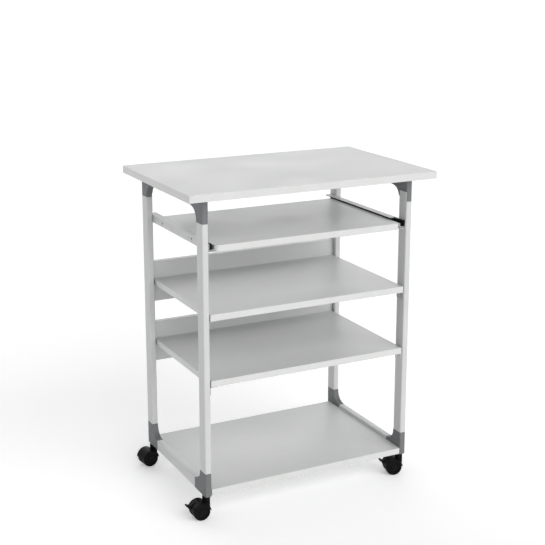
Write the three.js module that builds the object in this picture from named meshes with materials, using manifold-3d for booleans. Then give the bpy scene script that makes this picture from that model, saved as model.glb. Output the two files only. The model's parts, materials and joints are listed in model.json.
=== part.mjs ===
// Mobile printer stand: a steel tube frame on four twin-wheel castors that carries a top board,
// a pull-out shelf, two middle shelves with rear panels and a bottom shelf.
// Millimetres, +Z up. X runs across the front, -Y faces the user, Z = 0 is the floor.
import * as THREE from 'three';
import { mergeVertices } from 'three/addons/utils/BufferGeometryUtils.js';
import Module from 'manifold-3d';

// Overall sizes
const BOARD_WIDTH = 750;
const BOARD_DEPTH = 485;
const BOARD_THICKNESS = 20;
const BOARD_CORNER = 3;
const TOTAL_HEIGHT = 918;

// Frame: how far the posts stand in from the edges of the top board
const SIDE_SETBACK = 52.5;
const FRONT_SETBACK = 43;
const BACK_SETBACK = 11;

// Tubes and the plastic corner connectors between them
const POST_WIDTH = 18;
const POST_DEPTH = 38;
const RAIL_HEIGHT = 30;
const TUBE_WALL = 1.5;
const TUBE_RADIUS = 3;
const RAIL_RADIUS = 0.5;
const CONNECTOR_HEIGHT = 68;
const CONNECTOR_ARM = 37;
const CONNECTOR_CURVE = 35;
const CONNECTOR_INNER_NOTCH = 27;
const SPIGOT_LENGTH = 34;

// Shelves: each top face is measured down from the one above it, and the bottom shelf's up from the castors
const SHELF_THICKNESS = 18;
const SHELF_CORNER = 2;
const PULL_OUT_DROP = 148;
const UPPER_SHELF_DROP = 187;
const LOWER_SHELF_DROP = 184.5;
const BOTTOM_SHELF_RISE = 20.5;
const SHELF_SIDE_GAP = 2.5;
const BOTTOM_SHELF_DEPTH = 419;
const BOTTOM_SHELF_SIDE_GAP = 0.5;

// Rear panels behind the middle shelves
const PANEL_HEIGHT = 120;
const PANEL_RISE = 50;
const PANEL_INSET = 14;
const PANEL_DEPTH = 18;
const SHEET = 1.5;

// Brackets under the front corners of the middle shelves
const BRACKET_LEG = 22;
const BRACKET_DEPTH = 34;
const BRACKET_SETBACK = 2;

// Pull-out shelf, its runners and its travel
const PULL_OUT_DEPTH = 387;
const PULL_OUT_CORNER = 12;
const TRAVEL = 300;
const RUNNER_HEIGHT = 22;
const RUNNER_FLANGE = 17.5;
const RUNNER_LIP = 20;
const RUNNER_DROP = 16;
const RUNNER_SETBACK = 0.5;
const RUNNER_BACK_INSET = 8;
const LINER = 2.2;
const LINER_BASE = 1.5;
const LINER_INSET = 0.5;
const LINER_BACK_INSET = 2;
const RAIL_WALL = 1.5;
const RAIL_LENGTH = 380;
const RAIL_SETBACK = 2;
const RAIL_OVERHANG = 1.2;
const STOP_LENGTH = 48;
const STOP_WIDTH = 8.5;
const STOP_SETBACK = 1.5;
const SLIDER_LENGTH = 30;

// Castors
const WHEEL_RADIUS = 24;
const CASTOR_NECK = 17;
const WHEEL_WIDTH = 16;
const WHEEL_SPACING = 9;
const WHEEL_RIM = 5;
const WHEEL_EDGE = 2;
const WHEEL_STEP = 1;
const WHEEL_RECESS = 2.5;
const HUB_RADIUS = 7;
const CASTOR_TRAIL = 20;
const HOOD_WALL = 1.6;
const HOOD_CLEARANCE = 1;
const HOOD_SKIRT = 0.6;
const HOOD_START = 2;
const WEB_INSET = 2;
const AXLE_RADIUS = 3;
const STEM_RADIUS = 5;
const STEM_REACH = 38;
const STEM_SEAT = 15;
const STEM_CHAMFER = 1;
const COLLAR_ROOM = 2;
const COLLAR_RADIUS = 10;
const BOSS_RADIUS = 11;
const BOSS_START = 8;
const LEVER_WIDTH = 4.4;
const LEVER_THICKNESS = 4;
const LEVER_REACH = 28;
const LEVER_PAD_WIDTH = 18;
const LEVER_PAD_LENGTH = 12;
const LEVER_PIN_RADIUS = 1.5;
const LEVER_EYE_RADIUS = 4;
const LEVER_EDGE = 2;
const LEVER_SLOT_DROP = 8;
const LEVER_RISE = THREE.MathUtils.degToRad(30);

// Clearances: between pieces that touch, round what turns, beside what slides and at its ends
const GAP = 0.3;
const FIT = 0.3;
const SLIDE_GAP = 0.5;
const STOP_GAP = 0.6;
const END_GAP = 1;
const PIN_GAP = 0.2;

// How far a cutting tool reaches past the faces that it cuts, and one piece of a join into the next
const OVERLAP = 1;

// The way each castor trails at rest, in degrees from -X towards +Y
const CASTORS = [
  { name: 'front_left', side: -1, end: -1, heading: 0, brake: true },
  { name: 'front_right', side: 1, end: -1, heading: 14, brake: true },
  { name: 'rear_left', side: -1, end: 1, heading: -8, brake: false },
  { name: 'rear_right', side: 1, end: 1, heading: -20, brake: false },
];

// Places worked out from the sizes
const boardBottom = TOTAL_HEIGHT - BOARD_THICKNESS;
const castorHeight = 2 * WHEEL_RADIUS + CASTOR_NECK;
const pullOutTop = TOTAL_HEIGHT - PULL_OUT_DROP;
const upperShelfTop = pullOutTop - UPPER_SHELF_DROP;
const lowerShelfTop = upperShelfTop - LOWER_SHELF_DROP;
const bottomShelfTop = castorHeight + BOTTOM_SHELF_RISE;
const frameSide = BOARD_WIDTH / 2 - SIDE_SETBACK;
const frameFront = -BOARD_DEPTH / 2 + FRONT_SETBACK;
const frameBack = BOARD_DEPTH / 2 - BACK_SETBACK;
const insideSide = frameSide - POST_WIDTH;
const postCentreX = frameSide - POST_WIDTH / 2;
const postBottom = castorHeight + CONNECTOR_HEIGHT;
const postTop = boardBottom - CONNECTOR_HEIGHT;
const panelFront = frameBack - POST_DEPTH + PANEL_INSET;
const runnerBottom = pullOutTop - RUNNER_DROP;
const runnerTop = runnerBottom + RUNNER_HEIGHT;

const steel = { color: 0xc9cccb, roughness: 0.45, metalness: 0.1 };
const laminate = { color: 0xcfd0ce, roughness: 0.55, metalness: 0 };
const greyPlastic = { color: 0x77797b, roughness: 0.6, metalness: 0 };
const blackPlastic = { color: 0x101114, roughness: 0.45, metalness: 0 };
const zincSteel = { color: 0xb4b6b8, roughness: 0.3, metalness: 1 };

const wasm = await Module();
wasm.setup();

const stand = new THREE.Group();

// ---- solids -------------------------------------------------------------------------------

// The same surface with shared corners merged and only positions kept.
function bare(geometry) {
  const loose = geometry.index ? geometry.toNonIndexed() : geometry.clone();
  loose.deleteAttribute('normal');
  loose.deleteAttribute('uv');
  return mergeVertices(loose, 1e-4);
}

// A closed solid made from a three.js geometry, ready for boolean cuts.
function solidOf(geometry) {
  const merged = bare(geometry);
  return new wasm.Manifold(new wasm.Mesh({
    numProp: 3,
    vertProperties: new Float32Array(merged.attributes.position.array),
    triVerts: new Uint32Array(merged.index.array),
  }));
}

// The three.js geometry of a solid.
function geometryOf(solid) {
  const mesh = solid.getMesh();
  const geometry = new THREE.BufferGeometry();
  geometry.setAttribute('position', new THREE.BufferAttribute(new Float32Array(mesh.vertProperties), 3));
  geometry.setIndex(new THREE.BufferAttribute(new Uint32Array(mesh.triVerts), 1));
  return geometry;
}

function join(...geometries) {
  const solids = geometries.map(solidOf);
  return geometryOf(solids.reduce((whole, piece) => whole.add(piece)));
}

function cut(geometry, ...tools) {
  return geometryOf(tools.map(solidOf).reduce((rest, tool) => rest.subtract(tool), solidOf(geometry)));
}

function common(a, b) {
  return geometryOf(solidOf(a).intersect(solidOf(b)));
}

// A box between two corners.
function block([x0, y0, z0], [x1, y1, z1]) {
  const geometry = new THREE.BoxGeometry(x1 - x0, y1 - y0, z1 - z0);
  return geometry.translate((x0 + x1) / 2, (y0 + y1) / 2, (z0 + z1) / 2);
}

// A rectangle centred on a point, with round corners.
function roundedRectangle(width, depth, radius, centreX = 0, centreY = 0) {
  const right = centreX + width / 2;
  const left = centreX - width / 2;
  const back = centreY + depth / 2;
  const front = centreY - depth / 2;
  const shape = new THREE.Shape();
  shape.moveTo(left + radius, front);
  shape.lineTo(right - radius, front);
  shape.absarc(right - radius, front + radius, radius, -Math.PI / 2, 0);
  shape.lineTo(right, back - radius);
  shape.absarc(right - radius, back - radius, radius, 0, Math.PI / 2);
  shape.lineTo(left + radius, back);
  shape.absarc(left + radius, back - radius, radius, Math.PI / 2, Math.PI);
  shape.lineTo(left, front + radius);
  shape.absarc(left + radius, front + radius, radius, Math.PI, Math.PI * 1.5);
  return shape;
}

// A flat shape given a thickness along its own Z.
function thick(shape, depth, curveSegments) {
  return new THREE.ExtrudeGeometry(shape, { depth, bevelEnabled: false, curveSegments });
}

// A shape in the XY plane raised from one height to another.
function raised(shape, bottom, top, curveSegments = 5) {
  return thick(shape, top - bottom, curveSegments).translate(0, 0, bottom);
}

// A shape drawn with Y to the right and Z up, carried across X.
function acrossX(shape, from, to, curveSegments = 10) {
  const axes = new THREE.Matrix4().set(0, 0, 1, from, 1, 0, 0, 0, 0, 1, 0, 0, 0, 0, 0, 1);
  return thick(shape, to - from, curveSegments).applyMatrix4(axes);
}

// A shape drawn with X to the right and Z up, carried along Y.
function alongY(shape, from, to, curveSegments = 10) {
  return thick(shape, to - from, curveSegments).rotateX(Math.PI / 2).translate(0, to, 0);
}

// A turned piece: points of [radius, height] about the Z axis.
function turned(points, segments = 28) {
  const profile = points.map(([radius, height]) => new THREE.Vector2(radius, height));
  return new THREE.LatheGeometry(profile, segments).rotateX(Math.PI / 2);
}

function cylinder(radius, bottom, top, segments = 24) {
  return turned([[0, bottom], [radius, bottom], [radius, top], [0, top]], segments);
}

// A cylinder lying along Y through a point of the XZ plane.
function cylinderAlongY(radius, from, to, x, z, segments = 28) {
  return cylinder(radius, from, to, segments).rotateX(-Math.PI / 2).translate(x, 0, z);
}

// The mirror image across X = 0, Y = 0 or Z = 0, with its faces turned outwards again.
function mirrored(geometry, axis) {
  const image = bare(geometry);
  const scale = { x: [-1, 1, 1], y: [1, -1, 1], z: [1, 1, -1] }[axis];
  image.applyMatrix4(new THREE.Matrix4().makeScale(...scale));
  const corners = image.index.array;
  for (let i = 0; i < corners.length; i += 3) {
    [corners[i], corners[i + 1]] = [corners[i + 1], corners[i]];
  }
  return image;
}

function add(name, geometry, finish, place) {
  const surface = bare(geometry);
  surface.computeVertexNormals();
  const mesh = new THREE.Mesh(surface, new THREE.MeshStandardMaterial(finish));
  mesh.name = name;
  if (place) {
    mesh.position.set(place.x, place.y, 0);
    mesh.rotation.z = place.turn;
  }
  stand.add(mesh);
}

// A corner piece made for the front left, carried to all four corners by mirroring.
// The frame's middle in Y isn't Y = 0, so it is mirrored about its own middle.
function addAtCorners(name, frontLeft, finish) {
  const middleY = (frameFront + frameBack) / 2;
  const rearLeft = mirrored(frontLeft.clone().translate(0, -middleY, 0), 'y').translate(0, middleY, 0);
  add(`${name}_front_left`, frontLeft, finish);
  add(`${name}_front_right`, mirrored(frontLeft, 'x'), finish);
  add(`${name}_rear_left`, rearLeft, finish);
  add(`${name}_rear_right`, mirrored(rearLeft, 'x'), finish);
}

function addLeftAndRight(name, left, finish) {
  add(`${name}_left`, left, finish);
  add(`${name}_right`, mirrored(left, 'x'), finish);
}

// ---- boards and shelves -------------------------------------------------------------------

function board(width, front, back, top, thickness, radius) {
  const outline = roundedRectangle(width, back - front, radius, 0, (front + back) / 2);
  return raised(outline, top - thickness, top);
}

const boardBack = BOARD_DEPTH / 2;
add('top_board',
  board(BOARD_WIDTH, -boardBack, boardBack, TOTAL_HEIGHT, BOARD_THICKNESS, BOARD_CORNER), laminate);

const shelfWidth = 2 * (insideSide - SHELF_SIDE_GAP);
const shelves = { lower_shelf: lowerShelfTop, upper_shelf: upperShelfTop };
for (const [name, top] of Object.entries(shelves)) {
  const shelf = board(shelfWidth, frameFront, panelFront - GAP, top, SHELF_THICKNESS, SHELF_CORNER);
  add(name, shelf, laminate);
}

const bottomShelfWidth = 2 * (insideSide - BOTTOM_SHELF_SIDE_GAP);
const bottomShelfBack = frameFront + BOTTOM_SHELF_DEPTH;
add('bottom_shelf',
  board(bottomShelfWidth, frameFront, bottomShelfBack, bottomShelfTop, SHELF_THICKNESS, SHELF_CORNER),
  laminate);

// ---- frame tubes and connectors ------------------------------------------------------------

const cornerX = -postCentreX;
const cornerY = frameFront + POST_DEPTH / 2;
const armEnd = frameFront + POST_DEPTH + CONNECTOR_ARM;

// A post is a tube. At its top the inner wall runs on upwards as a tongue inside the connector's notch.
function postAtFrontLeft() {
  const outer = roundedRectangle(POST_WIDTH, POST_DEPTH, TUBE_RADIUS, cornerX, cornerY);
  outer.holes.push(roundedRectangle(
    POST_WIDTH - 2 * TUBE_WALL, POST_DEPTH - 2 * TUBE_WALL, TUBE_RADIUS - TUBE_WALL, cornerX, cornerY));
  const tongueTop = postTop + CONNECTOR_INNER_NOTCH;
  const tube = raised(outer, postBottom + GAP, tongueTop - GAP);
  const trim = block(
    [-frameSide - OVERLAP, frameFront - OVERLAP, postTop - GAP],
    [-insideSide - TUBE_WALL, frameFront + POST_DEPTH + OVERLAP, tongueTop + OVERLAP]);
  return cut(tube, trim);
}

// A side rail is a tube along Y between two connector arms.
function railAtLeft(bottom) {
  const middle = bottom + RAIL_HEIGHT / 2;
  const inset = 2 * TUBE_WALL;
  const outline = roundedRectangle(POST_WIDTH, RAIL_HEIGHT, RAIL_RADIUS + TUBE_WALL, cornerX, middle);
  outline.holes.push(
    roundedRectangle(POST_WIDTH - inset, RAIL_HEIGHT - inset, RAIL_RADIUS, cornerX, middle));
  const backEnd = frameBack - POST_DEPTH - CONNECTOR_ARM;
  return alongY(outline, armEnd + GAP, backEnd - GAP, 3);
}

// The outline of a connector seen from the side: an upright socket, an arm along Y and a hollow
// curve between them. It is drawn for a bottom connector and turned over for a top one.
function connectorOutline(bottom, top, armTop) {
  const back = frameFront + POST_DEPTH;
  const radius = Math.min(CONNECTOR_CURVE, CONNECTOR_ARM - OVERLAP, top - armTop - OVERLAP);
  const outline = new THREE.Shape();
  outline.moveTo(frameFront, bottom);
  outline.lineTo(armEnd, bottom);
  outline.lineTo(armEnd, armTop);
  outline.lineTo(back + radius, armTop);
  outline.absarc(back + radius, armTop + radius, radius, -Math.PI / 2, -Math.PI, true);
  outline.lineTo(back, top);
  outline.lineTo(frameFront, top);
  return outline;
}

// A connector body with its round front edges and the two spigots that plug into the tubes.
function connectorAtFrontLeft() {
  const body = acrossX(connectorOutline(0, CONNECTOR_HEIGHT, RAIL_HEIGHT), -frameSide, -insideSide);
  const length = armEnd - frameFront + 2 * TUBE_RADIUS;
  const envelope = raised(
    roundedRectangle(POST_WIDTH, length, TUBE_RADIUS, cornerX, frameFront + length / 2),
    -OVERLAP, CONNECTOR_HEIGHT + OVERLAP);
  const inset = 2 * (TUBE_WALL + FIT);
  const upright = raised(
    roundedRectangle(POST_WIDTH - inset, POST_DEPTH - inset, TUBE_RADIUS - TUBE_WALL, cornerX, cornerY),
    CONNECTOR_HEIGHT - OVERLAP, CONNECTOR_HEIGHT + SPIGOT_LENGTH, 3);
  const level = alongY(
    roundedRectangle(POST_WIDTH - inset, RAIL_HEIGHT - inset, RAIL_RADIUS, cornerX, RAIL_HEIGHT / 2),
    armEnd - OVERLAP, armEnd + SPIGOT_LENGTH, 3);
  return join(common(body, envelope), upright, level);
}

const connector = connectorAtFrontLeft();

// Bottom connectors take the castor stems in a bore from below.
function bottomConnector() {
  const bore = cylinder(STEM_RADIUS + FIT, castorHeight - OVERLAP, castorHeight + STEM_REACH + END_GAP)
    .translate(cornerX, cornerY, 0);
  return cut(connector.clone().translate(0, 0, castorHeight), bore);
}

// Top connectors are turned over, and notched on the inner side for the post's tongue.
function topConnector() {
  const turnedOver = mirrored(connector, 'z').translate(0, 0, boardBottom - GAP);
  const notch = block(
    [-insideSide - TUBE_WALL - GAP, frameFront - OVERLAP, postTop - SPIGOT_LENGTH - OVERLAP],
    [-insideSide + OVERLAP, frameFront + POST_DEPTH + OVERLAP, postTop + CONNECTOR_INNER_NOTCH]);
  return cut(turnedOver, notch);
}

addAtCorners('post', postAtFrontLeft(), steel);
addAtCorners('bottom_connector', bottomConnector(), greyPlastic);
addAtCorners('top_connector', topConnector(), greyPlastic);
addLeftAndRight('bottom_rail', railAtLeft(castorHeight), steel);
addLeftAndRight('top_rail', railAtLeft(boardBottom - GAP - RAIL_HEIGHT), steel);

// ---- rear panels and shelf brackets ---------------------------------------------------------

// A folded sheet panel between the rear posts: a front face with four edges turned back.
function rearPanel(shelfTop) {
  const top = shelfTop + PANEL_RISE;
  const half = insideSide - GAP;
  const back = panelFront + PANEL_DEPTH;
  const outer = block([-half, panelFront, top - PANEL_HEIGHT], [half, back, top]);
  const pocket = block(
    [-half + SHEET, panelFront + SHEET, top - PANEL_HEIGHT + SHEET],
    [half - SHEET, back + OVERLAP, top - SHEET]);
  return cut(outer, pocket);
}

// An angle bracket screwed to a front post, under the corner of a shelf.
function bracketAtLeft(shelfTop) {
  const under = shelfTop - SHELF_THICKNESS - GAP;
  const side = -insideSide + GAP;
  const front = frameFront + BRACKET_SETBACK;
  const back = front + BRACKET_DEPTH;
  const level = block([side, front, under - SHEET], [side + BRACKET_LEG, back, under]);
  const upright = block([side, front, under - BRACKET_LEG], [side + SHEET, back, under]);
  return join(level, upright);
}

for (const [name, top] of Object.entries(shelves)) {
  add(name.replace('shelf', 'rear_panel'), rearPanel(top), steel);
  addLeftAndRight(`${name}_bracket`, bracketAtLeft(top), zincSteel);
}

// ---- pull-out shelf and its runners -----------------------------------------------------------

const runnerFront = frameFront + RUNNER_SETBACK;
const runnerBack = frameBack - RUNNER_BACK_INSET;
const runnerSide = -insideSide + GAP;
const insideWeb = runnerSide + SHEET + GAP;
const stopFront = runnerFront + STOP_SETBACK;
const stopBack = stopFront + STOP_LENGTH;
const flangeTop = runnerBottom + SHEET;
const underLip = runnerTop - SHEET;
const linerFront = stopBack + END_GAP;
const linerBack = runnerBack - LINER_BACK_INSET;
const linerTop = flangeTop + GAP + LINER_BASE;
const underLiner = underLip - GAP - LINER_BASE;
const railBottom = linerTop + GAP;
const railFront = runnerFront + RAIL_SETBACK;
const railOutside = insideWeb + LINER + SLIDE_GAP;
const railInside = runnerSide + RUNNER_FLANGE + RAIL_OVERHANG;
const pullOutSide = railInside + GAP;

// A fixed runner is a channel on its side: a tall web, a flange below and a wider lip above, which
// reaches over the edge of the shelf. The lip stops short at the front, where the stop stands.
function runnerAtLeft() {
  const start = [runnerSide, runnerFront, runnerBottom];
  const web = block(start, [runnerSide + SHEET, runnerBack, runnerTop]);
  const flange = block(start, [runnerSide + RUNNER_FLANGE, runnerBack, flangeTop]);
  const lip = block(
    [runnerSide, stopBack + GAP, underLip], [runnerSide + RUNNER_LIP, runnerBack, runnerTop]);
  return join(web, flange, lip);
}

// The glide liner lines the runner inside. The shelf's rail runs on its lower leg.
function linerAtLeft() {
  const start = [insideWeb, linerFront, flangeTop + GAP];
  const upright = block(start, [insideWeb + LINER, linerBack, underLip - GAP]);
  const lower = block(start, [runnerSide + RUNNER_FLANGE - LINER_INSET, linerBack, linerTop]);
  const upper = block(
    [insideWeb, linerFront, underLiner],
    [runnerSide + RUNNER_LIP - LINER_INSET, linerBack, underLip - GAP]);
  return join(upright, lower, upper);
}

// The stop at the front of the runner that the rail's slider meets when the shelf is right out.
function stopAtLeft() {
  return block(
    [insideWeb, stopFront, railBottom + RAIL_WALL + STOP_GAP],
    [insideWeb + STOP_WIDTH, stopBack, runnerTop]);
}

// The shelf's rail is an angle beside the shelf that rests on the liner.
function shelfRailAtLeft() {
  const start = [railOutside, railFront, railBottom];
  const back = railFront + RAIL_LENGTH;
  const level = block(start, [railInside, back, railBottom + RAIL_WALL]);
  const upright = block(
    [railInside - RAIL_WALL, railFront, railBottom], [railInside, back, pullOutTop - SLIDE_GAP]);
  return join(level, upright);
}

// The slider stands on the rail under the liner's upper leg and keeps the shelf level.
function sliderAtLeft() {
  const front = stopBack + TRAVEL + END_GAP;
  return block(
    [railOutside, front, railBottom + RAIL_WALL + GAP],
    [railInside - RAIL_WALL - SLIDE_GAP, front + SLIDER_LENGTH, underLiner - SLIDE_GAP]);
}

addLeftAndRight('runner', runnerAtLeft(), steel);
addLeftAndRight('glide_liner', linerAtLeft(), blackPlastic);
addLeftAndRight('front_stop', stopAtLeft(), blackPlastic);
addLeftAndRight('shelf_rail', shelfRailAtLeft(), steel);
addLeftAndRight('rail_slider', sliderAtLeft(), blackPlastic);
const pullOutBack = frameFront + PULL_OUT_DEPTH;
add('pull_out_shelf',
  board(-2 * pullOutSide, frameFront, pullOutBack, pullOutTop, SHELF_THICKNESS, PULL_OUT_CORNER),
  laminate);

// ---- castors ------------------------------------------------------------------------------

// A castor is drawn about its swivel axis, X = Y = 0, with its wheels trailing towards -X.
const hoodInside = WHEEL_RADIUS + HOOD_CLEARANCE;
const hoodOutside = hoodInside + HOOD_WALL;
const wheelInner = WHEEL_SPACING / 2;
const wheelOuter = wheelInner + WHEEL_WIDTH;
const webHalf = wheelInner - SLIDE_GAP;
const hoodTop = castorHeight - COLLAR_ROOM;
const boreBottom = hoodTop - STEM_SEAT - END_GAP;
const webRadius = WHEEL_RADIUS - WEB_INSET;
const leverPivot = {
  x: -CASTOR_TRAIL - webRadius + LEVER_EYE_RADIUS + LEVER_EDGE,
  z: WHEEL_RADIUS + LEVER_EYE_RADIUS * 2,
};

// One wheel, turned about Z with its outer face upwards, then laid along Y.
function wheel(direction) {
  const bore = AXLE_RADIUS + FIT;
  const recessRadius = WHEEL_RADIUS - WHEEL_RIM;
  const recess = WHEEL_WIDTH - WHEEL_RECESS;
  const hubFace = WHEEL_WIDTH - WHEEL_STEP;
  const geometry = turned([
    [bore, 0],
    [WHEEL_RADIUS - WHEEL_EDGE, 0],
    [WHEEL_RADIUS, WHEEL_EDGE],
    [WHEEL_RADIUS, WHEEL_WIDTH - WHEEL_EDGE],
    [WHEEL_RADIUS - WHEEL_EDGE, WHEEL_WIDTH],
    [recessRadius, WHEEL_WIDTH],
    [recessRadius - WHEEL_STEP, recess],
    [HUB_RADIUS, recess],
    [HUB_RADIUS - WHEEL_STEP, hubFace],
    [bore, hubFace],
    [bore, 0],
  ]);
  geometry.translate(0, 0, wheelInner).rotateX(-direction * Math.PI / 2);
  return geometry.translate(-CASTOR_TRAIL, 0, WHEEL_RADIUS);
}

// A bar along Y through the middle of the wheels.
function throughWheels(radius, from, to, segments) {
  return cylinderAlongY(radius, from, to, -CASTOR_TRAIL, WHEEL_RADIUS, segments);
}

function axle() {
  const reach = wheelOuter - WHEEL_RECESS;
  return throughWheels(AXLE_RADIUS, -reach, reach, 16);
}

// The stem: a pin with a collar. It is fixed in the bottom connector and the housing turns about it.
function stem() {
  const bottom = boreBottom + END_GAP;
  const top = castorHeight + STEM_REACH;
  return turned([
    [0, bottom],
    [STEM_RADIUS, bottom],
    [STEM_RADIUS, hoodTop + GAP],
    [COLLAR_RADIUS, hoodTop + GAP],
    [COLLAR_RADIUS, castorHeight - GAP],
    [STEM_RADIUS, castorHeight - GAP],
    [STEM_RADIUS, top - STEM_CHAMFER],
    [STEM_RADIUS - STEM_CHAMFER, top],
    [0, top],
  ], 20);
}

// The housing: a web between the wheels, a hood over them and a boss round the stem.
function housing(brake) {
  const far = 2 * hoodOutside + CASTOR_TRAIL;
  const hoodHalf = wheelOuter + HOOD_SKIRT;
  const round = throughWheels(hoodOutside, -hoodHalf, hoodHalf, 40);
  const above = block([-far, -far, WHEEL_RADIUS + HOOD_START], [far, far, castorHeight]);
  const web = throughWheels(webRadius, -webHalf, webHalf, 28);
  const boss = cylinder(BOSS_RADIUS, WHEEL_RADIUS + BOSS_START, hoodTop);
  const tools = [
    throughWheels(hoodInside, webHalf, far, 40),
    throughWheels(hoodInside, -far, -webHalf, 40),
    cylinder(STEM_RADIUS + FIT, boreBottom, castorHeight),
    throughWheels(AXLE_RADIUS + FIT, -far, far, 16),
  ];
  if (brake) {
    const slotHalf = LEVER_WIDTH / 2 + FIT;
    const slotEnd = leverPivot.x + LEVER_EYE_RADIUS + END_GAP;
    const slotBottom = WHEEL_RADIUS - LEVER_SLOT_DROP;
    tools.push(block([-far, -slotHalf, slotBottom], [slotEnd, slotHalf, castorHeight]));
    tools.push(cylinderAlongY(LEVER_PIN_RADIUS + FIT, -far, far, leverPivot.x, leverPivot.z, 12));
  }
  return cut(join(common(round, above), web, boss), ...tools);
}

// The brake lever: pins that snap into the web, an eye, a narrow arm and a wide pad outside the hood.
function brakeLever() {
  const half = LEVER_WIDTH / 2;
  const thickness = LEVER_THICKNESS / 2;
  const pinHalf = webHalf - PIN_GAP;
  const pins = cylinderAlongY(LEVER_PIN_RADIUS, -pinHalf, pinHalf, 0, 0, 12);
  const eye = cylinderAlongY(LEVER_EYE_RADIUS, -half, half, 0, 0, 16);
  const arm = block([-LEVER_REACH, -half, -thickness], [0, half, thickness]);
  const padHalf = LEVER_PAD_WIDTH / 2;
  const padEnd = -LEVER_REACH + LEVER_PAD_LENGTH;
  const pad = block([-LEVER_REACH, -padHalf, -thickness], [padEnd, padHalf, thickness]);
  const lever = join(pins, eye, arm, pad).rotateY(LEVER_RISE);
  return lever.translate(leverPivot.x, 0, leverPivot.z);
}

for (const castor of CASTORS) {
  const place = {
    x: castor.side * postCentreX,
    y: castor.end < 0 ? cornerY : frameBack - POST_DEPTH / 2,
    z: 0,
    turn: -THREE.MathUtils.degToRad(castor.heading),
  };
  add(`castor_stem_${castor.name}`, stem(), zincSteel, place);
  add(`castor_housing_${castor.name}`, housing(castor.brake), blackPlastic, place);
  add(`castor_axle_${castor.name}`, axle(), zincSteel, place);
  add(`castor_wheel_${castor.name}_a`, wheel(-1), blackPlastic, place);
  add(`castor_wheel_${castor.name}_b`, wheel(1), blackPlastic, place);
  if (castor.brake) {
    add(`brake_lever_${castor.name}`, brakeLever(), blackPlastic, place);
  }
}

export default stand;
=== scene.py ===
import json
import math

import bmesh
import bpy
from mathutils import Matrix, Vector


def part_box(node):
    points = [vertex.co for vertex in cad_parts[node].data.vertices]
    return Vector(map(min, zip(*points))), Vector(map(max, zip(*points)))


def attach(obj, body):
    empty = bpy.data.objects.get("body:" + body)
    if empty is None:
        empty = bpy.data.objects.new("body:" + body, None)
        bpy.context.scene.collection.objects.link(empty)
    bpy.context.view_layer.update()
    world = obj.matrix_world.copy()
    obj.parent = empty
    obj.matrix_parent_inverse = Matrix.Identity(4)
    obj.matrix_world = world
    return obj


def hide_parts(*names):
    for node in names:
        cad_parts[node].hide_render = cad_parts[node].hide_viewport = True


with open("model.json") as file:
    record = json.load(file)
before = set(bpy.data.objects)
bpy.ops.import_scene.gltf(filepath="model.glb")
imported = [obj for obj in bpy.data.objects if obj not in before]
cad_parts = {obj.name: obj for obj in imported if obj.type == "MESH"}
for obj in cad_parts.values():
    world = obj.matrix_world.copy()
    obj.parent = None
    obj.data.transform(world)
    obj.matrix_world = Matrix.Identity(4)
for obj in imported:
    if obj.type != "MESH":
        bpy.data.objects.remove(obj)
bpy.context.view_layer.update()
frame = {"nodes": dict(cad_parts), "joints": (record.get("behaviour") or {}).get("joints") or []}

# ---- Camera -----------------------------------------------------------------------------------
# It stands to the left of the stand's front, a little above the top board, and looks down at it.
# The small shift keeps the whole stand in the frame at that angle.
bpy.ops.object.select_all(action="DESELECT")
bpy.ops.object.camera_add(
    location=(-1.5006, -2.9032, 1.5135),
    rotation=(math.radians(76.456), 0.0, math.radians(-27.076)),
)
camera = bpy.context.object
camera.name = "camera"
camera.data.sensor_width = 36.0
camera.data.lens = 77.53
camera.data.shift_y = -0.07
bpy.context.scene.camera = camera

# ---- Studio -----------------------------------------------------------------------------------
# A plain pale floor in a bright room whose walls are brighter than its ceiling. Two wide lamps, low
# in front and low behind, reach in between the shelves. The shadow is soft and lies under the stand.
WALL_LIGHT = 1.12
CEILING_LIGHT = 0.14
LAMP_SPREAD = math.radians(70)
bpy.context.scene.view_settings.view_transform = "Standard"
room = bpy.data.worlds.new("room")
room.use_nodes = True
room.node_tree.nodes["Background"].inputs["Color"].default_value = (1.0, 1.0, 1.0, 1.0)
looking = room.node_tree.nodes.new("ShaderNodeTexCoord")
rise = room.node_tree.nodes.new("ShaderNodeSeparateXYZ")
fade = room.node_tree.nodes.new("ShaderNodeMapRange")
fade.inputs["To Min"].default_value = WALL_LIGHT
fade.inputs["To Max"].default_value = CEILING_LIGHT
room.node_tree.links.new(looking.outputs["Generated"], rise.inputs["Vector"])
room.node_tree.links.new(rise.outputs["Z"], fade.inputs["Value"])
room.node_tree.links.new(fade.outputs["Result"], room.node_tree.nodes["Background"].inputs["Strength"])
bpy.context.scene.world = room

for name, lamp_from, energy in (
    ("lamp_in_front", (0.28, -0.90, 0.34), 2.35),
    ("lamp_behind", (0.12, 0.90, 0.34), 1.15),
):
    turn = Vector(lamp_from).to_track_quat("Z", "Y").to_euler()
    bpy.ops.object.light_add(type="SUN", rotation=turn)
    lamp = bpy.context.object
    lamp.name = name
    lamp.data.energy = energy
    lamp.data.angle = LAMP_SPREAD

bpy.ops.mesh.primitive_plane_add(size=400)
floor = bpy.context.object
floor.name = "floor"
pale = bpy.data.materials.new("pale_floor")
pale.use_nodes = True
paint = pale.node_tree.nodes["Principled BSDF"]
paint.inputs["Base Color"].default_value = (0.9, 0.9, 0.9, 1.0)
paint.inputs["Roughness"].default_value = 0.9
paint.inputs["Emission Color"].default_value = (1.0, 1.0, 1.0, 1.0)
paint.inputs["Emission Strength"].default_value = 0.25
floor.data.materials.append(pale)

# ---- Corner connectors --------------------------------------------------------------------------
# Eight mouldings of mid-grey plastic that join the posts to the side rails. Each is a socket and
# an arm in one piece with a hollow curve between them. The tubes push on to spigots inside.


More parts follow.
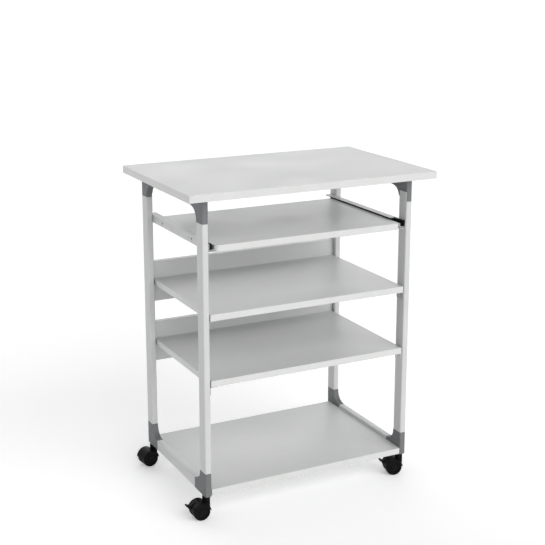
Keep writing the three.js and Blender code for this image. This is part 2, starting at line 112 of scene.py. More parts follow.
def new_finish(name, colour, roughness, metallic=0.0):
    """A finish with even values on its shader. Patterns are wired to it afterwards."""
    finish = bpy.data.materials.new(name)
    finish.use_nodes = True
    shader = finish.node_tree.nodes["Principled BSDF"]
    shader.inputs["Base Color"].default_value = (*colour, 1.0)
    shader.inputs["Roughness"].default_value = roughness
    shader.inputs["Metallic"].default_value = metallic
    return finish


def grain(finish, size, detail=2.0, stretch=(1.0, 1.0, 1.0), cells=False):
    """A texture laid over the piece, with lumps of about this size in metres; its socket."""
    nodes, links = finish.node_tree.nodes, finish.node_tree.links
    place = nodes.new("ShaderNodeTexCoord")
    scaled = nodes.new("ShaderNodeMapping")
    scaled.inputs["Scale"].default_value = stretch
    links.new(place.outputs["Object"], scaled.inputs["Vector"])
    texture = nodes.new("ShaderNodeTexVoronoi" if cells else "ShaderNodeTexNoise")
    texture.inputs["Scale"].default_value = 1.0 / size
    texture.inputs["Detail"].default_value = detail
    links.new(scaled.outputs["Vector"], texture.inputs["Vector"])
    return texture.outputs["Distance"] if cells else texture.outputs["Fac"]


def shades(finish, texture, low, high, start=0.3, end=0.7):
    """A colour that runs from low to high as the texture does; its socket."""
    nodes, links = finish.node_tree.nodes, finish.node_tree.links
    ramp = nodes.new("ShaderNodeValToRGB")
    ramp.color_ramp.elements[0].position = start
    ramp.color_ramp.elements[1].position = end
    ramp.color_ramp.elements[0].color = (*low, 1.0)
    ramp.color_ramp.elements[1].color = (*high, 1.0)
    links.new(texture, ramp.inputs["Fac"])
    return ramp.outputs["Color"]


def painted_over(finish, under, over, share):
    """One colour laid over another, as far as share says; its socket."""
    nodes, links = finish.node_tree.nodes, finish.node_tree.links
    mix = nodes.new("ShaderNodeMix")
    mix.data_type = "RGBA"
    mix.blend_type = "MULTIPLY"
    mix.inputs["Factor"].default_value = share
    links.new(under, mix.inputs[6])
    links.new(over, mix.inputs[7])
    return mix.outputs[2]


def colour_from(finish, socket):
    finish.node_tree.links.new(socket, finish.node_tree.nodes["Principled BSDF"].inputs["Base Color"])


def gloss_from(finish, texture, low, high):
    """Roughness that runs from low to high with the texture."""
    nodes, links = finish.node_tree.nodes, finish.node_tree.links
    span = nodes.new("ShaderNodeMapRange")
    span.inputs["From Min"].default_value = 0.3
    span.inputs["From Max"].default_value = 0.7
    span.inputs["To Min"].default_value = low
    span.inputs["To Max"].default_value = high
    links.new(texture, span.inputs["Value"])
    links.new(span.outputs["Result"], nodes["Principled BSDF"].inputs["Roughness"])


def relief_from(finish, texture, depth, strength=0.5, under=None):
    """A bump of this depth in metres, on top of another one if there is one; its socket."""
    nodes, links = finish.node_tree.nodes, finish.node_tree.links
    bump = nodes.new("ShaderNodeBump")
    bump.inputs["Strength"].default_value = strength
    bump.inputs["Distance"].default_value = depth
    links.new(texture, bump.inputs["Height"])
    if under is not None:
        links.new(under, bump.inputs["Normal"])
    links.new(bump.outputs["Normal"], nodes["Principled BSDF"].inputs["Normal"])
    return bump.outputs["Normal"]


GREY_LOW, GREY_HIGH = (0.122, 0.126, 0.130), (0.152, 0.157, 0.162)
grey_plastic = new_finish("connector_grey_plastic", GREY_HIGH, 0.55)
grey_plastic.node_tree.nodes["Principled BSDF"].inputs["Specular IOR Level"].default_value = 0.30
spark = grain(grey_plastic, 0.0009, 3.0)
flow = grain(grey_plastic, 0.020, 3.0, (1.0, 1.0, 0.35))
colour_from(grey_plastic, painted_over(
    grey_plastic,
    shades(grey_plastic, spark, GREY_LOW, GREY_HIGH),
    shades(grey_plastic, flow, (0.88, 0.88, 0.88), (1.0, 1.0, 1.0)),
    1.0,
))
gloss_from(grey_plastic, flow, 0.48, 0.62)
relief_from(grey_plastic, spark, 0.0002, 0.35)


def cuboid(name, low, high):
    """A box between two corners, its place in its mesh, ready to be shaped."""
    low, high = Vector(low), Vector(high)
    bpy.ops.object.select_all(action="DESELECT")
    bpy.ops.mesh.primitive_cube_add(size=1.0, location=(low + high) / 2, scale=high - low)
    bpy.ops.object.transform_apply(location=True, rotation=True, scale=True)
    piece = bpy.context.object
    piece.name = name
    return piece


def take(piece):
    """Makes this piece the only selected one and the active one."""
    bpy.ops.object.select_all(action="DESELECT")
    piece.select_set(True)
    bpy.context.view_layer.objects.active = piece


def pick(piece, kind, wanted):
    """Opens the piece in edit mode with the faces or edges selected that pass the test."""
    take(piece)
    bpy.ops.object.mode_set(mode="EDIT")
    bpy.ops.mesh.select_mode(type=kind)
    bpy.ops.mesh.select_all(action="DESELECT")
    mesh = bmesh.from_edit_mesh(piece.data)
    for part in mesh.faces if kind == "FACE" else mesh.edges:
        part.select_set(bool(wanted(part)))
    bmesh.update_edit_mesh(piece.data)


def put_down():
    bpy.ops.object.mode_set(mode="OBJECT")


def middle(part):
    """The middle of an edge or a face."""
    return sum((v.co for v in part.verts), Vector()) / len(part.verts)


def runs_along(edge, axis):
    """True for an edge that lies along this axis."""
    way = edge.verts[1].co - edge.verts[0].co
    return abs(way[axis]) > 0.99 * way.length


def split_at(piece, point, normal):
    """Cuts a loop right round the piece without opening it."""
    pick(piece, "FACE", lambda face: True)
    bpy.ops.mesh.bisect(plane_co=point, plane_no=normal)
    put_down()


def drawn_out(piece, wanted, way):
    """Extrudes the faces that pass the test."""
    pick(piece, "FACE", wanted)
    bpy.ops.mesh.extrude_region_move(TRANSFORM_OT_translate={"value": way})
    put_down()


def eased(piece, wanted, radius, segments):
    """Rounds the edges that pass the test."""
    pick(piece, "EDGE", wanted)
    bpy.ops.mesh.bevel(offset=radius, segments=segments, affect="EDGES")
    put_down()


def cut_away(piece, tool, solver="EXACT"):
    """Takes another solid out of the piece."""
    take(piece)
    cut = piece.modifiers.new("cut", "BOOLEAN")
    cut.operation = "DIFFERENCE"
    cut.solver = solver
    cut.object = tool
    bpy.ops.object.modifier_apply(modifier=cut.name)
    bpy.data.objects.remove(tool)


def rounded(piece, radius, segments=3):
    """Breaks every sharp edge by this radius and smooths the piece between them."""
    take(piece)
    bpy.ops.object.shade_smooth()
    edges = piece.modifiers.new("edges", "BEVEL")
    edges.width = radius
    edges.segments = segments
    edges.limit_method = "ANGLE"
    edges.angle_limit = math.radians(35)
    edges.harden_normals = True
    bpy.ops.object.modifier_apply(modifier=edges.name)


def turned_over(piece, name, flip, about):
    """A mirror image of the piece about a point, facing outwards again."""
    image = piece.copy()
    image.data = piece.data.copy()
    image.name = name
    bpy.context.scene.collection.objects.link(image)
    image.scale = flip
    image.location = Vector(c * (1 - f) for c, f in zip(about, flip))
    take(image)
    bpy.ops.object.transform_apply(location=True, rotation=True, scale=True)
    if flip[0] * flip[1] * flip[2] < 0:
        pick(image, "FACE", lambda face: True)
        bpy.ops.mesh.normals_make_consistent(inside=False)
        put_down()
    return image


def fit(piece, finish, slot, body, *nodes):
    """Gives a finished piece its finish, its CAD nodes and the body that it moves with."""
    piece.data.materials.clear()
    piece.data.materials.append(finish)
    if nodes:
        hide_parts(*nodes)
    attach(piece, body)


JOINT_GAP = 0.0003
SHEET = 0.0015
TOOL_ROOM = 0.001
CORNER_RADIUS = 0.003
CORNER_CURVE = 0.035
CORNERS = ("front_left", "front_right", "rear_left", "rear_right")

corner_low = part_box("bottom_connector_front_left")[0]
corner_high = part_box("top_connector_front_left")[1]
post_low, post_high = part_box("post_front_left")
rail_low, rail_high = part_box("bottom_rail_left")
socket = post_low.z - JOINT_GAP - corner_low.z
frame_middle = Vector((
    0.0,
    (post_low.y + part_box("post_rear_left")[1].y) / 2,
    (corner_low.z + corner_high.z) / 2,
))


def mirrored_for(place):
    """How a piece made for the front left corner is mirrored for this one."""
    return -1 if place.endswith("right") else 1, -1 if place.startswith("rear") else 1, 1


corner = cuboid("corner", corner_low, (post_high.x, post_high.y, corner_low.z + socket))
split_at(corner, (0.0, 0.0, rail_high.z), (0.0, 0.0, 1.0))
drawn_out(
    corner,
    lambda face: face.normal.y > 0.9 and middle(face).z < rail_high.z,
    (0.0, rail_low.y - JOINT_GAP - post_high.y, 0.0),
)
eased(
    corner,
    lambda edge: runs_along(edge, 0)
    and (middle(edge) - Vector((middle(edge).x, post_high.y, rail_high.z))).length < 1e-5,
    CORNER_CURVE, 12,
)
eased(
    corner,
    lambda edge: runs_along(edge, 2) and middle(edge).y < post_low.y + 1e-5,
    CORNER_RADIUS, 5,
)

# The post's inner wall reaches up into a notch on the inner side of a top connector.
top_corner = turned_over(corner, "top_corner", (1, 1, -1), frame_middle)
notch = cuboid(
    "notch",
    (post_high.x - SHEET - JOINT_GAP, post_low.y - TOOL_ROOM, corner_high.z - socket - TOOL_ROOM),
    (post_high.x + TOOL_ROOM, post_high.y + TOOL_ROOM, post_high.z + JOINT_GAP),
)
cut_away(top_corner, notch, "FAST")

for level, pattern in (("bottom", corner), ("top", top_corner)):
    for place in CORNERS:
        piece = turned_over(pattern, f"{level}_corner_{place}", mirrored_for(place), frame_middle)
        rounded(piece, 0.0006)
        fit(piece, grey_plastic, "grey_plastic", "frame", f"{level}_connector_{place}")
    bpy.data.objects.remove(pattern)

# ---- Posts --------------------------------------------------------------------------------------
# Four flat steel tubes with round corners, powder coated light grey. The wall on the inner side is
# left longer at the top, where it lies in the connector and two screws go through it.
TUBE_MOUTH = 0.040
COAT_LOW, COAT_HIGH = (0.470, 0.475, 0.475), (0.505, 0.510, 0.510)
coat = new_finish("light_grey_powder_coat", COAT_HIGH, 0.42)
peel = grain(coat, 0.0016, 2.0)
specks = grain(coat, 0.0005, 1.0)
handling = grain(coat, 0.080, 4.0)
colour_from(coat, painted_over(
    coat,
    shades(coat, specks, COAT_LOW, COAT_HIGH),
    shades(coat, handling, (0.955, 0.955, 0.95), (1.0, 1.0, 1.0)),
    1.0,
))
gloss_from(coat, handling, 0.36, 0.48)
relief_from(coat, peel, 0.0002, 0.22, relief_from(coat, specks, 0.0001, 0.10))

post_top = corner_high.z - socket
post = cuboid("post", post_low, post_high)
eased(post, lambda edge: runs_along(edge, 2), CORNER_RADIUS, 6)
trim = cuboid(
    "trim",
    (post_low.x - TOOL_ROOM, post_low.y - TOOL_ROOM, post_top - JOINT_GAP),
    (post_high.x - SHEET, post_high.y + TOOL_ROOM, post_high.z + TOOL_ROOM),
)
cut_away(post, trim)
pick(post, "FACE", lambda face: face.normal.z < -0.9)
bpy.ops.mesh.inset(thickness=SHEET)
bpy.ops.mesh.extrude_region_move(TRANSFORM_OT_translate={"value": (0.0, 0.0, TUBE_MOUTH)})
put_down()
for place in CORNERS:
    piece = turned_over(post, f"tube_post_{place}", mirrored_for(place), frame_middle)
    rounded(piece, 0.0003, 2)
    fit(piece, coat, "coated_steel", "frame", f"post_{place}")
bpy.data.objects.remove(post)

# ---- Side rails -----------------------------------------------------------------------------------
# Four shorter tubes of the same coated steel, one above and one below on each side. They push
# on to the spigots of the connectors' arms.
RAIL_RADIUS = 0.002
for level in ("bottom", "top"):
    for side in ("left", "right"):
        low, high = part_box(f"{level}_rail_{side}")
        piece = cuboid(f"tube_rail_{level}_{side}", low, high)
        eased(piece, lambda edge: runs_along(edge, 1), RAIL_RADIUS, 5)
        pick(piece, "FACE", lambda face: abs(face.normal.y) > 0.9)
        bpy.ops.mesh.inset(thickness=SHEET)
        bpy.ops.mesh.inset(thickness=0.0001, depth=-TUBE_MOUTH)
        put_down()
        rounded(piece, 0.0003, 2)
        fit(piece, coat, "coated_steel", "frame", f"{level}_rail_{side}")

# ---- Screws ---------------------------------------------------------------------------------------
# Zinc-plated pan heads with a cross recess. One is made with a radius of one and copied, at its own
# size, to wherever two pieces of the frame are screwed together.
POST_SCREW = 0.0026
PANEL_SCREW = 0.0038
BRACKET_SCREW = 0.0036
HEAD_HEIGHT = 0.55
HEAD_ROUNDING = 0.32
RECESS_FLOOR = 0.30
RECESS_ARM = 0.52
RECESS_HALF = 0.11
ZINC_LOW, ZINC_HIGH = (0.42, 0.43, 0.44), (0.60, 0.61, 0.62)
zinc = new_finish("zinc_plate", ZINC_HIGH, 0.32, 1.0)
spangle = grain(zinc, 0.0022, 3.0)
drawing = grain(zinc, 0.0008, 3.0, (0.15, 1.0, 1.0))
colour_from(zinc, painted_over(
    zinc,
    shades(zinc, spangle, ZINC_LOW, ZINC_HIGH),
    shades(zinc, drawing, (0.88, 0.88, 0.90), (1.0, 1.0, 1.0)),
    1.0,
))
gloss_from(zinc, spangle, 0.25, 0.42)
relief_from(zinc, drawing, 0.0001, 0.2)

bpy.ops.object.select_all(action="DESELECT")
bpy.ops.mesh.primitive_cylinder_add(
    vertices=20, radius=1.0, depth=HEAD_HEIGHT, location=(0.0, 0.0, HEAD_HEIGHT / 2))
bpy.ops.object.transform_apply(location=True, rotation=True, scale=True)
screw = bpy.context.object
screw.name = "screw"
eased(screw, lambda edge: middle(edge).z > HEAD_HEIGHT - 0.001, HEAD_ROUNDING, 3)
for half_x, half_y in ((RECESS_ARM, RECESS_HALF), (RECESS_HALF, RECESS_ARM)):
    cut_away(screw, cuboid(
        "recess", (-half_x, -half_y, RECESS_FLOOR), (half_x, half_y, HEAD_HEIGHT + 0.05)))
take(screw)
bpy.ops.object.shade_smooth_by_angle(angle=math.radians(35))


def screwed(name, place, way, head, body):
    """A copy of the screw with its head on this place, facing this way; head is its radius."""
    copy = screw.copy()
    copy.data = screw.data.copy()
    copy.name = name
    bpy.context.scene.collection.objects.link(copy)
    copy.location = place
    copy.scale = (head, head, head)
    copy.rotation_euler = Vector(way).to_track_quat("Z", "Y").to_euler()
    take(copy)
    bpy.ops.object.transform_apply(location=True, rotation=True, scale=True)
    fit(copy, zinc, "zinc_steel", body)


for place in CORNERS:
    low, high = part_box(f"post_{place}")
    inward = -1 if place.endswith("right") else 1
    face = high.x if inward > 0 else low.x
    for number, below_tongue in enumerate((0.008, 0.026)):
        screwed(
            f"screw_post_{place}_{number}",
            (face, (low.y + high.y) / 2, high.z - below_tongue),
            (inward, 0.0, 0.0), POST_SCREW, "frame",
        )

# ---- Rear panels ------------------------------------------------------------------------------------
# Two trays of folded sheet steel between the rear posts, coated like the tubes. The flanges turn
# back all round, and those at the ends are screwed to the posts.
PANEL_SCREW_SETBACK = 0.022
for level in ("upper", "lower"):
    low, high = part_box(f"{level}_rear_panel")
    piece = cuboid(f"panel_rear_{level}", low, high)
    pick(piece, "FACE", lambda face: face.normal.y > 0.9)
    bpy.ops.mesh.inset(thickness=SHEET)
    bpy.ops.mesh.extrude_region_move(
        TRANSFORM_OT_translate={"value": (0.0, low.y + SHEET - high.y, 0.0)}
    )
    put_down()
    rounded(piece, 0.0006, 3)
    fit(piece, coat, "coated_steel", "frame", f"{level}_rear_panel")
    for side, inward in (("left", 1), ("right", -1)):
        face = (low.x + SHEET) if inward > 0 else (high.x - SHEET)
        heights = (low.z + PANEL_SCREW_SETBACK, high.z - PANEL_SCREW_SETBACK)
        for number, height in enumerate(heights):
            screwed(
                f"screw_panel_{level}_{side}_{number}",
                (face, (low.y + high.y) / 2 + 0.001, height),
                (inward, 0.0, 0.0), PANEL_SCREW, "frame",
            )

# ---- Shelf brackets ---------------------------------------------------------------------------------
# Four short zinc-plated angles on the front posts. Each has one screw into the post and one from
# below into the shelf that rests on it.


def angle_strip(name, node, upright, level, upright_on_left, level_on_top):
    """A folded strip in the box of a CAD node: a level leg and an upright one, of these thicknesses."""
    low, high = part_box(node)
    bottom, top = (high.z - level, high.z) if level_on_top else (low.z, low.z + level)
    piece = cuboid(name, (low.x, low.y, bottom), (high.x, high.y, top))
    fold = low.x + upright if upright_on_left else high.x - upright
    split_at(piece, (fold, 0.0, 0.0), (1.0, 0.0, 0.0))
    way = -1 if level_on_top else 1
    drawn_out(
        piece,
        lambda face: face.normal.z * way > 0.9 and (middle(face).x < fold) == upright_on_left,
        (0.0, 0.0, way * (high.z - low.z - level)),
    )
    return piece


for level in ("upper", "lower"):
    for side, inward in (("left", 1), ("right", -1)):
        node = f"{level}_shelf_bracket_{side}"
        low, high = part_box(node)
        piece = angle_strip(f"bracket_{level}_{side}", node, SHEET, SHEET, inward > 0, True)
        rounded(piece, 0.0005, 2)
        fit(piece, zinc, "zinc_steel", "frame", node)
        face = (low.x + SHEET) if inward > 0 else (high.x - SHEET)
        between = (low.y + high.y) / 2
        screwed(
            f"screw_bracket_{level}_{side}_post",
            (face, between, low.z + 0.009), (inward, 0.0, 0.0), BRACKET_SCREW, "frame",
        )
        screwed(
            f"screw_bracket_{level}_{side}_shelf",
            (face + inward * 0.012, between, high.z - SHEET), (0.0, 0.0, -1.0), BRACKET_SCREW, "frame",
        )

# ---- Fixed shelves ----------------------------------------------------------------------------------
# Three boards faced with light-grey melamine. A thin plastic band is glued round the edges, a
# little whiter than the face, with a hairline joint between them.
FACE_LOW, FACE_HIGH = (0.565, 0.572, 0.570), (0.600, 0.607, 0.604)
laminate = new_finish("light_grey_laminate", FACE_HIGH, 0.42)
laminate.node_tree.nodes["Principled BSDF"].inputs["Specular IOR Level"].default_value = 0.20
fleck = grain(laminate, 0.0012, 3.0)
streak = grain(laminate, 0.0060, 4.0, (0.2, 1.0, 1.0))
cloud = grain(laminate, 0.180, 3.0)
colour_from(laminate, painted_over(
    laminate,
    painted_over(
        laminate,
        shades(laminate, fleck, FACE_LOW, FACE_HIGH),
        shades(laminate, streak, (0.965, 0.965, 0.965), (1.0, 1.0, 1.0)),
        1.0,
    ),
    shades(laminate, cloud, (0.97, 0.97, 0.965), (1.0, 1.0, 1.0)),
    1.0,
))
gloss_from(laminate, cloud, 0.36, 0.48)
relief_from(laminate, fleck, 0.0001, 0.25)

BAND_LOW, BAND_HIGH = (0.520, 0.525, 0.520), (0.550, 0.555, 0.550)
band_plastic = new_finish("edge_band_plastic", BAND_HIGH, 0.38)
band_grain = grain(band_plastic, 0.0010, 2.0, (0.25, 0.25, 1.0))
band_wear = grain(band_plastic, 0.050, 4.0)
colour_from(band_plastic, painted_over(
    band_plastic,
    shades(band_plastic, band_grain, BAND_LOW, BAND_HIGH),
    shades(band_plastic, band_wear, (0.96, 0.96, 0.955), (1.0, 1.0, 1.0)),
    1.0,
))
gloss_from(band_plastic, band_wear, 0.32, 0.45)
relief_from(band_plastic, band_grain, 0.0001, 0.15)

BAND = 0.0012
HAIRLINE = 0.0001


def board_with_band(name, node, corner, body):
    """A faced board and the band round its edges, in the box of a CAD node."""
    low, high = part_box(node)
    band = cuboid(f"{name}_edge_band", low, high)
    eased(band, lambda edge: runs_along(edge, 2), corner, 8)
    pick(band, "FACE", lambda face: abs(face.normal.z) > 0.9)
    bpy.ops.mesh.inset(thickness=BAND)
    bpy.ops.mesh.bridge_edge_loops()
    put_down()
    rounded(band, 0.0004, 3)
    fit(band, band_plastic, "laminate", body)

    inset = Vector((BAND + HAIRLINE, BAND + HAIRLINE, 2 * HAIRLINE))
    face = cuboid(f"{name}_board", low + inset, high - inset)
    eased(face, lambda edge: runs_along(edge, 2), max(corner - BAND, 0.0005), 8)
    rounded(face, 0.0002, 2)
    fit(face, laminate, "laminate", body, node)


board_with_band("bottom", "bottom_shelf", 0.002, "frame")
board_with_band("lower", "lower_shelf", 0.002, "frame")
board_with_band("upper", "upper_shelf", 0.002, "frame")

# ---- Runners ----------------------------------------------------------------------------------------
# A channel of coated sheet is screwed to the posts on each side, its lip over the edge of the shelf.
# A black plastic liner lines it for the shelf to glide in, and a black stop stands at its front end.
# The liner's black upper leg under the lip is also painted shade: a dark strip standing for the shadow
# in the gap above the shelf.
BLACK_LOW, BLACK_HIGH = (0.0025, 0.0025, 0.003), (0.006, 0.006, 0.0065)
black_plastic = new_finish("black_moulded_plastic", BLACK_HIGH, 0.42)
black_plastic.node_tree.nodes["Principled BSDF"].inputs["Specular IOR Level"].default_value = 0.06
matt = grain(black_plastic, 0.0008, 3.0)
swirl = grain(black_plastic, 0.015, 3.0)
colour_from(black_plastic, painted_over(
    black_plastic,
    shades(black_plastic, matt, BLACK_LOW, BLACK_HIGH),
    shades(black_plastic, swirl, (0.8, 0.8, 0.8), (1.0, 1.0, 1.0)),
    1.0,
))
gloss_from(black_plastic, swirl, 0.34, 0.50)
relief_from(black_plastic, matt, 0.0002, 0.25)

FLANGE = 0.0175
LINER_FLANGE = 0.0152
LINER_WALL = 0.0022
LINER_LEG = 0.0015
HOLE_HEIGHT = 0.012
STOP_WALL = 0.0070
STOP_FOOT = 0.0060
STOP_ROOM_WIDTH = 0.030
HOLES = ((-0.0853, 0.0035), (-0.0668, 0.0020), (-0.0023, 0.0020), (0.0564, 0.0020), (0.1210, 0.0035))


def rod(name, radius, start, end, vertices=24):
    """A round bar between two points."""
    start, end = Vector(start), Vector(end)
    bpy.ops.object.select_all(action="DESELECT")
    bpy.ops.mesh.primitive_cylinder_add(
        vertices=vertices, radius=radius, depth=(end - start).length,
        location=(start + end) / 2, rotation=(end - start).to_track_quat("Z", "Y").to_euler(),
    )
    bpy.ops.object.transform_apply(location=True, rotation=True, scale=True)
    piece = bpy.context.object
    piece.name = name
    return piece


def channel(name, node, upright, level, flange, inward):
    """A folded channel in the box of a CAD node, with its lip above wider than its flange below."""
    low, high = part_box(node)
    back = low.x if inward > 0 else high.x
    fold = back + inward * upright
    piece = cuboid(name, (min(back, fold), low.y, low.z), (max(back, fold), high.y, high.z))
    for height in (low.z + level, high.z - level):
        split_at(piece, (0.0, 0.0, height), (0.0, 0.0, 1.0))
    for reach, is_leg in (
        (flange - upright, lambda z: z < low.z + level),
        (high.x - low.x - upright, lambda z: z > high.z - level),
    ):
        drawn_out(
            piece,
            lambda face: face.normal.x * inward > 0.9 and is_leg(middle(face).z),
            (inward * reach, 0.0, 0.0),
        )
    return piece


for side, inward in (("left", 1), ("right", -1)):
    low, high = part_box(f"runner_{side}")
    outer = low.x if inward > 0 else high.x
    lip_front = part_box(f"front_stop_{side}")[1].y + JOINT_GAP
    piece = channel(f"channel_{side}", f"runner_{side}", SHEET, SHEET, FLANGE, inward)
    room_left, room_right = sorted((outer + inward * SHEET, outer + inward * STOP_ROOM_WIDTH))
    cut_away(piece, cuboid(
        "stop_room",
        (room_left, low.y - TOOL_ROOM, high.z - SHEET - TOOL_ROOM),
        (room_right, lip_front, high.z + TOOL_ROOM),
    ))
    for along, radius in HOLES:
        cut_away(piece, rod(
            "drill", radius,
            (outer - inward * TOOL_ROOM, along, low.z + HOLE_HEIGHT),
            (outer + inward * (SHEET + TOOL_ROOM), along, low.z + HOLE_HEIGHT),
        ))
    rounded(piece, 0.0003, 2)
    fit(piece, coat, "coated_steel", "frame", f"runner_{side}")

    # Painted shade: the black leg of this liner under the lip stands for the shadow in the gap between
    # lip and shelf, as well as lining the channel.
    piece = channel(
        f"liner_{side}", f"glide_liner_{side}", LINER_WALL, LINER_LEG, LINER_FLANGE, inward)
    rounded(piece, 0.0004, 2)
    fit(piece, black_plastic, "black_plastic", "frame", f"glide_liner_{side}")

    piece = angle_strip(
        f"stop_{side}", f"front_stop_{side}", STOP_WALL, STOP_FOOT, inward > 0, False)
    rounded(piece, 0.0008, 3)
    fit(piece, black_plastic, "black_plastic", "frame", f"front_stop_{side}")

# ---- Pull-out shelf ---------------------------------------------------------------------------------
# A narrower board, faced and banded like the others, with round corners. An angle along each side
# rides on the liner, and a black slider on it runs under the channel's lip and meets the stop.
GROOVE_EDGES = (0.30, 0.42, 0.58, 0.70)
GROOVE_MIDDLES = (0.36, 0.64)
GROOVE_DEPTH = 0.002

board_with_band("pull_out", "pull_out_shelf", 0.012, "pull_out")
for side, inward in (("left", 1), ("right", -1)):
    piece = angle_strip(
        f"rail_pull_out_{side}", f"shelf_rail_{side}", SHEET, SHEET, inward < 0, False)
    rounded(piece, 0.0004, 2)
    fit(piece, coat, "coated_steel", "pull_out", f"shelf_rail_{side}")

    low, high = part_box(f"rail_slider_{side}")
    piece = cuboid(f"slider_{side}", low, high)
    for share in GROOVE_EDGES:
        split_at(piece, (0.0, low.y + share * (high.y - low.y), 0.0), (0.0, 1.0, 0.0))
    middles = [low.y + share * (high.y - low.y) for share in GROOVE_MIDDLES]
    drawn_out(
        piece,
        lambda face: face.normal.z > 0.9 and min(abs(middle(face).y - m) for m in middles) < 0.0005,
        (0.0, 0.0, -GROOVE_DEPTH),
    )
    rounded(piece, 0.0006, 2)
    fit(piece, black_plastic, "black_plastic", "pull_out", f"rail_slider_{side}")

# ---- Top board --------------------------------------------------------------------------------------
# The widest board, faced and banded like the shelves. It lies on the top rails and connectors and
# is screwed to them from below.
board_with_band("top", "top_board", 0.003, "frame")

# ---- Castors ----------------------------------------------------------------------------------------
# Four twin-wheel castors of black plastic. A hood arches over both wheels, a round web stands
# between them, and a boss turns on a zinc-plated stem that is pressed into the connector above.
castors = {}
for joint in frame["joints"]:
    name = joint["name"]
    if name.startswith("swivel_"):
        castor = castors.setdefault(name.removeprefix("swivel_"), {})
        castor["place"] = Vector(joint["pos_m"])
    if name.startswith("wheel_spin_") and name.endswith("_a"):
        castor = castors.setdefault(name.removeprefix("wheel_spin_").removesuffix("_a"), {})
        castor["turn"] = -math.atan2(*joint["axis"][:2])
for castor in castors.values():
    castor["place"].z = 0.0

WHEEL_RADIUS = 0.024
TRAIL = 0.020
HOOD_RADIUS = 0.0266
HOOD_WALL = 0.0016
HOOD_HALF = 0.0211
WEB_RADIUS = 0.022
WEB_HALF = 0.004
BOSS_RADIUS = 0.011
BOSS_TOP = 0.063
STEM_BORE = 0.0053
STEM_BORE_START = 0.047
AXLE_BORE = 0.0033
PIN_BORE = 0.0018
THROUGH = 0.04
LEVER_SLOT = 0.0025
LEVER_PIVOT = Vector((-0.036, 0.0, 0.032))


def joined_on(piece, other):
    """Makes another solid one with the piece."""
    take(piece)
    join = piece.modifiers.new("join", "BOOLEAN")
    join.operation = "UNION"
    join.solver = "EXACT"
    join.object = other
    bpy.ops.object.modifier_apply(modifier=join.name)
    bpy.data.objects.remove(other)


def along_y(name, radius, low, high, x, z, vertices=48):
    """A round bar that lies along Y."""
    return rod(name, radius, (x, low, z), (x, high, z), vertices)


def castor_housing(braked):
    """Hood, web and boss as one moulding, drawn about the swivel axis with the wheels towards -X."""
    hood = along_y("hood", HOOD_RADIUS, -HOOD_HALF, HOOD_HALF, -TRAIL, WHEEL_RADIUS, 72)
    pick(hood, "FACE", lambda face: abs(face.normal.y) > 0.9)
    bpy.ops.mesh.delete(type="ONLY_FACE")
    bpy.ops.mesh.select_all(action="SELECT")
    bpy.ops.mesh.bisect(
        plane_co=(0.0, 0.0, WHEEL_RADIUS + 0.002), plane_no=(0.0, 0.0, 1.0), clear_inner=True)
    put_down()
    take(hood)
    thick = hood.modifiers.new("thick", "SOLIDIFY")
    thick.thickness = HOOD_WALL
    thick.offset = -1.0
    bpy.ops.object.modifier_apply(modifier=thick.name)

    boss = rod("boss", BOSS_RADIUS, (0.0, 0.0, WHEEL_RADIUS + 0.008), (0.0, 0.0, BOSS_TOP), 40)
    for way in (-1, 1):
        cut_away(boss, along_y(
            "wheel_room", HOOD_RADIUS - HOOD_WALL / 2,
            min(way * WEB_HALF, way * THROUGH), max(way * WEB_HALF, way * THROUGH),
            -TRAIL, WHEEL_RADIUS, 72))
    web = along_y("web", WEB_RADIUS, -WEB_HALF, WEB_HALF, -TRAIL, WHEEL_RADIUS, 56)
    joined_on(hood, boss)
    joined_on(hood, web)
    cut_away(hood, rod(
        "stem_bore", STEM_BORE, (0.0, 0.0, STEM_BORE_START), (0.0, 0.0, BOSS_TOP + 0.002), 24))
    cut_away(hood, along_y("axle_bore", AXLE_BORE, -THROUGH, THROUGH, -TRAIL, WHEEL_RADIUS, 24))
    if braked:
        cut_away(hood, cuboid(
            "slot",
            (-0.09, -LEVER_SLOT, WHEEL_RADIUS - 0.008),
            (LEVER_PIVOT.x + 0.005, LEVER_SLOT, 0.07),
        ))
        cut_away(hood, along_y("pin_bore", PIN_BORE, -0.01, 0.01, LEVER_PIVOT.x, LEVER_PIVOT.z, 12))
    return hood


def at_castor(pattern, name, castor):
    """A copy of a piece drawn about the swivel axis, turned and carried to one castor."""
    copy = pattern.copy()
    copy.data = pattern.data.copy()
    copy.name = name
    bpy.context.scene.collection.objects.link(copy)
    copy.location = castor["place"]
    copy.rotation_euler = (0.0, 0.0, castor["turn"])
    take(copy)
    bpy.ops.object.transform_apply(location=True, rotation=True, scale=True)
    return copy


for braked in (True, False):
    pattern = castor_housing(braked)
    rounded(pattern, 0.0004, 2)
    for name, castor in castors.items():
        if name.startswith("front") == braked:
            piece = at_castor(pattern, f"hood_{name}", castor)
            fit(piece, black_plastic, "black_plastic", f"castor_{name}", f"castor_housing_{name}")
    bpy.data.objects.remove(pattern)

for name in castors:
    for node in (f"castor_stem_{name}", f"castor_axle_{name}"):
        frame["nodes"][node].material_slots[0].material = zinc

# ---- Castor wheels ----------------------------------------------------------------------------------
# Eight hard nylon wheels, lightly scuffed. The outer face has a raised rim, shallow rings from the
# mould and a closed hub over the end of the axle.
NYLON_LOW, NYLON_HIGH = (0.003, 0.003, 0.0035), (0.007, 0.007, 0.0075)
nylon = new_finish("black_wheel_nylon", NYLON_HIGH, 0.40)
nylon.node_tree.nodes["Principled BSDF"].inputs["Specular IOR Level"].default_value = 0.08
scuff = grain(nylon, 0.0040, 4.0)
pits = grain(nylon, 0.0007, 2.0)
colour_from(nylon, painted_over(
    nylon,
    shades(nylon, scuff, NYLON_LOW, NYLON_HIGH, 0.35, 0.75),
    shades(nylon, pits, (0.8, 0.8, 0.8), (1.0, 1.0, 1.0)),
    1.0,
))
gloss_from(nylon, scuff, 0.32, 0.52)
relief_from(nylon, pits, 0.0002, 0.2)

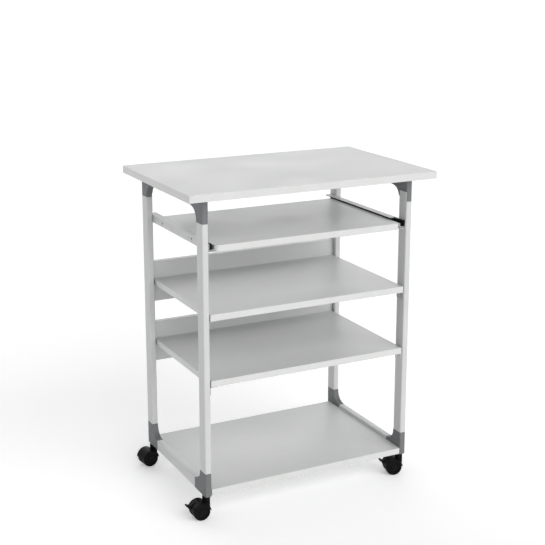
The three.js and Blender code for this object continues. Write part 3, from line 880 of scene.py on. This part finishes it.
WHEEL_INNER = 0.0045
WHEEL_OUTER = 0.0205
WHEEL_EDGE = 0.002
BORE_END = 0.0183
FACE_STEPS = (
    (0.0030, 0.0), (0.0010, -0.0025), (0.0015, 0.0), (0.0004, 0.0004), (0.0010, 0.0),
    (0.0004, -0.0004), (0.0022, 0.0), (0.0004, 0.0004), (0.0008, 0.0), (0.0004, -0.0004),
    (0.0019, 0.0), (0.0010, 0.0015), (0.0030, 0.0),
)


def castor_wheel(outward):
    """One wheel of a pair; outward is -1 for the wheel on the -Y side and 1 for the other."""
    near, far = sorted((outward * WHEEL_INNER, outward * WHEEL_OUTER))
    wheel = along_y("wheel", WHEEL_RADIUS, near, far, -TRAIL, WHEEL_RADIUS, 64)
    eased(wheel, lambda edge: not runs_along(edge, 1), WHEEL_EDGE, 4)
    pick(wheel, "FACE", lambda face: face.normal.y * outward > 0.99)
    for thickness, height in FACE_STEPS:
        bpy.ops.mesh.inset(thickness=thickness, depth=height)
    put_down()
    bore_low, bore_high = sorted((0.0, outward * BORE_END))
    cut_away(wheel, along_y("bore", AXLE_BORE, bore_low, bore_high, -TRAIL, WHEEL_RADIUS, 24))
    return wheel


for side, outward in (("a", -1), ("b", 1)):
    pattern = castor_wheel(outward)
    take(pattern)
    bpy.ops.object.shade_smooth_by_angle(angle=math.radians(35))
    for name, castor in castors.items():
        piece = at_castor(pattern, f"wheel_{name}_{side}", castor)
        fit(piece, nylon, "black_wheel", f"wheel_{name}_{side}", f"castor_wheel_{name}_{side}")
    bpy.data.objects.remove(pattern)

# ---- Brake levers -----------------------------------------------------------------------------------
# The two front castors have a foot lever of the same black plastic. It turns on pins in the web,
# passes through a slot in the hood and ends in a ribbed pad.
LEVER_REACH = 0.028
LEVER_HALF = 0.0022
LEVER_RISE = math.radians(30)
ARM_HALF = 0.0017
EYE_RADIUS = 0.004
PIN_RADIUS = 0.0015
PIN_REACH = 0.0038
PAD_LENGTH = 0.012
PAD_HALF = 0.009
PAD_RISE = 0.002
RIB_DEPTH = 0.0006

pad = cuboid(
    "pad", (-LEVER_REACH, -PAD_HALF, -PAD_RISE), (PAD_LENGTH - LEVER_REACH, PAD_HALF, PAD_RISE))
eased(pad, lambda edge: runs_along(edge, 2), 0.002, 4)
for number in range(1, 8):
    split_at(pad, (-LEVER_REACH + number * PAD_LENGTH / 8, 0.0, 0.0), (1.0, 0.0, 0.0))
grooves = [PAD_LENGTH / 8 * (number + 0.5) - LEVER_REACH for number in (2, 4, 6)]
drawn_out(
    pad,
    lambda face: face.normal.z > 0.9 and min(abs(middle(face).x - g) for g in grooves) < 0.0003,
    (0.0, 0.0, -RIB_DEPTH),
)
joined_on(pad, cuboid(
    "arm", (-LEVER_REACH + 0.004, -LEVER_HALF, -ARM_HALF), (0.0, LEVER_HALF, ARM_HALF)))
joined_on(pad, along_y("eye", EYE_RADIUS, -LEVER_HALF, LEVER_HALF, 0.0, 0.0, 28))
joined_on(pad, along_y("pins", PIN_RADIUS, -PIN_REACH, PIN_REACH, 0.0, 0.0, 16))
rounded(pad, 0.0004, 2)
pad.rotation_euler = (0.0, LEVER_RISE, 0.0)
pad.location = LEVER_PIVOT
take(pad)
bpy.ops.object.transform_apply(location=True, rotation=True, scale=True)
for name, castor in castors.items():
    if name.startswith("front"):
        piece = at_castor(pad, f"lever_{name}", castor)
        fit(piece, black_plastic, "black_plastic", f"brake_{name}", f"brake_lever_{name}")
bpy.data.objects.remove(pad)
bpy.data.objects.remove(screw)
